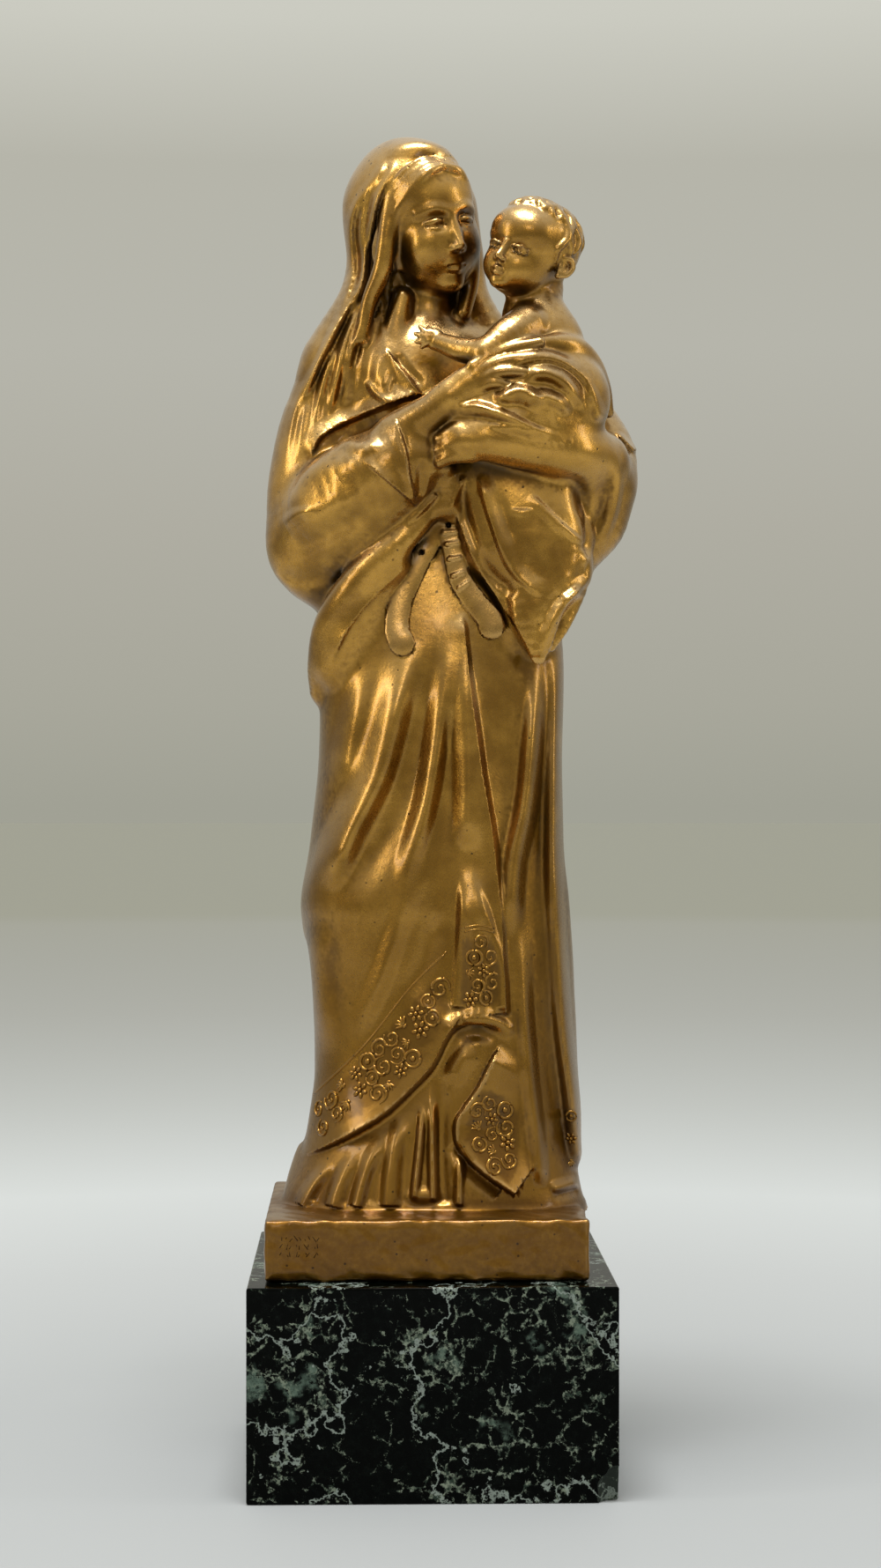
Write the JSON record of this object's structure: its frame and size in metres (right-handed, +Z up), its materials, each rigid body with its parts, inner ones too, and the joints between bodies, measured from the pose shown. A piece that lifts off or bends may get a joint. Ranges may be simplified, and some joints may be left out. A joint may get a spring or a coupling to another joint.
{
  "type": "virgin and child statue",
  "caption": "Standing gilt bronze virgin holding a child, in long draped mantle with ornamented hem, on a low bronze ground over a polished green marble block.",
  "frame": {"origin": "centre of the marble plinth's underside", "axes": "+Z up, -Y to the front of the statue, +X to the viewer's right, where the child is"},
  "size_m": [0.1095, 0.1, 0.3776],
  "materials": {
    "gilt_bronze": "gilt bronze, polished on the ridges, brown patina in the folds",
    "green_marble": "polished near-black green marble with pale grey-green veins"
  },
  "bodies": {
    "root": {"virgin_and_child": "gilt_bronze", "marble_plinth": "green_marble"}
  },
  "joints": []
}
